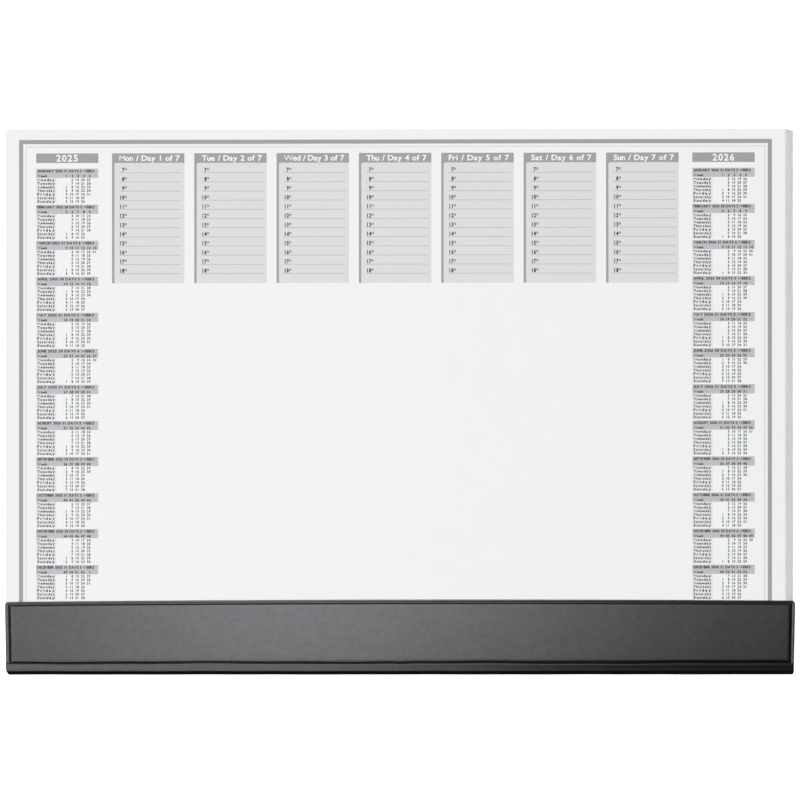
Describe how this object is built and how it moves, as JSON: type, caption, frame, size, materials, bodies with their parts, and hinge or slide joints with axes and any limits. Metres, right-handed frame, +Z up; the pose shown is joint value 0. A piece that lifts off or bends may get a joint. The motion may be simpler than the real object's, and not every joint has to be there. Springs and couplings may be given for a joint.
{
  "type": "desk pad calendar",
  "caption": "Flat desk pad of tear-off sheets with printed schedule and month columns, held by a dark leatherette strip folded over its front edge.",
  "frame": {"origin": "on the table, below the middle of the pad's overall box", "axes": "+X to the user's right along the strip, +Y away from the user towards the free edge of the sheets, +Z up out of the printed side"},
  "size_m": [0.595, 0.41, 0.0089],
  "materials": {
    "sheet_paper": "uncoated writing paper",
    "binding_glue": "dried padding glue",
    "greyboard": "pale grey board",
    "strip_leatherette": "embossed leatherette film, satin",
    "lining_film": "smooth film, satin",
    "stiffener_card": "plain card",
    "adhesive_tape": "adhesive film",
    "ink_dark_grey": "offset ink on paper",
    "ink_mid_grey": "offset ink on paper",
    "ink_pale_grey": "offset ink on paper"
  },
  "bodies": {
    "root": {"sheet_block": "sheet_paper", "binding_glue": "binding_glue", "backing_board": "greyboard", "strip_cover": "strip_leatherette", "strip_lining": "lining_film", "top_stiffener": "stiffener_card", "spine_stiffener": "stiffener_card", "flap_adhesive": "adhesive_tape", "print_frame_rear": "ink_dark_grey", "print_frame_left": "ink_dark_grey", "print_frame_right": "ink_dark_grey", "print_day_head_1": "ink_dark_grey", "print_day_field_1": "ink_pale_grey", "print_day_head_2": "ink_dark_grey", "print_day_field_2": "ink_pale_grey", "print_day_head_3": "ink_dark_grey", "print_day_field_3": "ink_pale_grey", "print_day_head_4": "ink_dark_grey", "print_day_field_4": "ink_pale_grey", "print_day_head_5": "ink_dark_grey", "print_day_field_5": "ink_pale_grey", "print_day_head_6": "ink_dark_grey", "print_day_field_6": "ink_pale_grey", "print_day_head_7": "ink_dark_grey", "print_day_field_7": "ink_pale_grey", "print_year_left": "ink_dark_grey", "print_month_left_1": "ink_mid_grey", "print_month_left_2": "ink_mid_grey", "print_month_left_3": "ink_mid_grey", "print_month_left_4": "ink_mid_grey", "print_month_left_5": "ink_mid_grey", "print_month_left_6": "ink_mid_grey", "print_month_left_7": "ink_mid_grey", "print_month_left_8": "ink_mid_grey", "print_month_left_9": "ink_mid_grey", "print_month_left_10": "ink_mid_grey", "print_month_left_11": "ink_mid_grey", "print_month_left_12": "ink_mid_grey", "print_year_right": "ink_dark_grey", "print_month_right_1": "ink_mid_grey", "print_month_right_2": "ink_mid_grey", "print_month_right_3": "ink_mid_grey", "print_month_right_4": "ink_mid_grey", "print_month_right_5": "ink_mid_grey", "print_month_right_6": "ink_mid_grey", "print_month_right_7": "ink_mid_grey", "print_month_right_8": "ink_mid_grey", "print_month_right_9": "ink_mid_grey", "print_month_right_10": "ink_mid_grey", "print_month_right_11": "ink_mid_grey", "print_month_right_12": "ink_mid_grey"}
  },
  "joints": []
}
